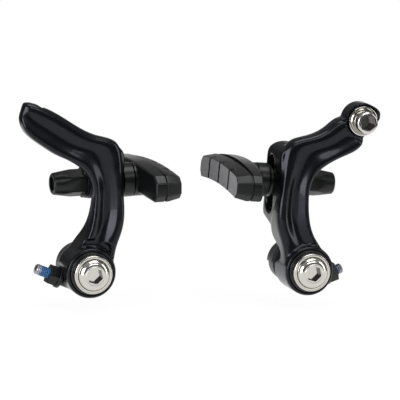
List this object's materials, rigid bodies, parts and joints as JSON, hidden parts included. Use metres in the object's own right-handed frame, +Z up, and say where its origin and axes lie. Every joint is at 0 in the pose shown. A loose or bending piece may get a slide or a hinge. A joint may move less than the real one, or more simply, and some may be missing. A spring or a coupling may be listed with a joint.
{
  "type": "cantilever brake",
  "caption": "Bicycle cantilever rim brake: left and right forged arms on frame bosses, with slotted shoe plates, toe-in ball washers, threaded shoes, return springs and a cable anchor.",
  "frame": {"origin": "midway between the two boss axes, in the plane of the shoe studs", "axes": "+X to the right as seen from the front, +Y to the rear along the boss axes, +Z up towards the cable"},
  "size_m": [0.1315, 0.0518, 0.0685],
  "materials": {
    "black_paint": "gloss black paint on forged aluminium",
    "bright_steel": "polished stainless steel",
    "plated_steel": "zinc plated",
    "black_steel": "satin black oxide",
    "spring_steel": "oiled spring wire",
    "bronze": "sintered bronze",
    "black_plastic": "satin",
    "grey_plastic": "satin",
    "block_rubber": "matt brake rubber"
  },
  "bodies": {
    "root": {"right_fixing_bolt": "bright_steel", "right_fixing_washer": "bright_steel", "right_pivot_sleeve": "plated_steel", "right_spring_housing": "grey_plastic", "right_return_spring": "spring_steel", "left_fixing_bolt": "bright_steel", "left_fixing_washer": "bright_steel", "left_pivot_sleeve": "plated_steel", "left_spring_housing": "grey_plastic", "left_return_spring": "spring_steel"},
    "right_arm_body": {"right_arm": "black_paint", "right_pivot_bush": "bronze", "right_front_seal": "black_plastic", "right_lock_washer": "black_steel", "right_lock_nut": "black_steel", "anchor_washer": "bright_steel"},
    "right_screw_body": {"right_tension_screw": "plated_steel"},
    "right_slider": {"right_inner_dome_washer": "black_steel", "right_outer_dome_washer": "black_steel"},
    "right_rocker": {"right_inner_cup_washer": "black_steel", "right_outer_cup_washer": "black_steel", "right_flat_washer": "black_steel"},
    "right_shoe": {"right_pad_holder": "black_paint", "right_brake_block": "block_rubber", "right_shoe_stud": "plated_steel", "right_shoe_nut": "black_steel"},
    "left_arm_body": {"left_arm": "black_paint", "left_pivot_bush": "bronze", "left_front_seal": "black_plastic", "left_lock_washer": "black_steel", "left_lock_nut": "black_steel"},
    "left_screw_body": {"left_tension_screw": "plated_steel"},
    "left_slider": {"left_inner_dome_washer": "black_steel", "left_outer_dome_washer": "black_steel"},
    "left_rocker": {"left_inner_cup_washer": "black_steel", "left_outer_cup_washer": "black_steel", "left_flat_washer": "black_steel"},
    "left_shoe": {"left_pad_holder": "black_paint", "left_brake_block": "block_rubber", "left_shoe_stud": "plated_steel", "left_shoe_nut": "black_steel"},
    "anchor_bolt_body": {"anchor_bolt": "bright_steel"}
  },
  "joints": [
    {"name": "right_arm_pivot", "type": "hinge", "parent": "root", "child": "right_arm_body", "pos_m": [0.04, 0, 0], "axis": [0, -1, 0], "range_deg": [-25, 12], "stiffness_Nm_per_rad": 0.9, "deforming": ["right_return_spring"]},
    {"name": "right_screw_travel", "type": "slide", "parent": "right_arm_body", "child": "right_screw_body", "axis": [0.9361, 0, 0.3518], "range_m": [0, 0.0025]},
    {"name": "right_pad_height", "type": "slide", "parent": "right_arm_body", "child": "right_slider", "axis": [0, 0, 1], "range_m": [-0.0069, 0.0052]},
    {"name": "right_pad_toe", "type": "hinge", "parent": "right_slider", "child": "right_rocker", "pos_m": [0.0318, 0, 0.0301], "axis": [0, 0, -1], "range_deg": [-4, 4]},
    {"name": "right_pad_twist", "type": "hinge", "parent": "right_rocker", "child": "right_shoe", "pos_m": [0.0318, 0, 0.0301], "axis": [0.9979, -0.0418, -0.0488], "range_deg": [-12, 12]},
    {"name": "left_arm_pivot", "type": "hinge", "parent": "root", "child": "left_arm_body", "pos_m": [-0.04, 0, 0], "axis": [0, 1, 0], "range_deg": [-25, 12], "stiffness_Nm_per_rad": 0.9, "deforming": ["left_return_spring"]},
    {"name": "left_screw_travel", "type": "slide", "parent": "left_arm_body", "child": "left_screw_body", "axis": [-0.9361, 0, 0.3518], "range_m": [0, 0.0025]},
    {"name": "left_pad_height", "type": "slide", "parent": "left_arm_body", "child": "left_slider", "axis": [0, 0, 1], "range_m": [-0.0069, 0.0052]},
    {"name": "left_pad_toe", "type": "hinge", "parent": "left_slider", "child": "left_rocker", "pos_m": [-0.0318, 0, 0.0301], "axis": [0, 0, 1], "range_deg": [-4, 4]},
    {"name": "left_pad_twist", "type": "hinge", "parent": "left_rocker", "child": "left_shoe", "pos_m": [-0.0318, 0, 0.0301], "axis": [-0.9979, -0.0418, -0.0488], "range_deg": [-12, 12]},
    {"name": "anchor_bolt_travel", "type": "slide", "parent": "right_arm_body", "child": "anchor_bolt_body", "axis": [0, -1, 0], "range_m": [0, 0.003]}
  ]
}
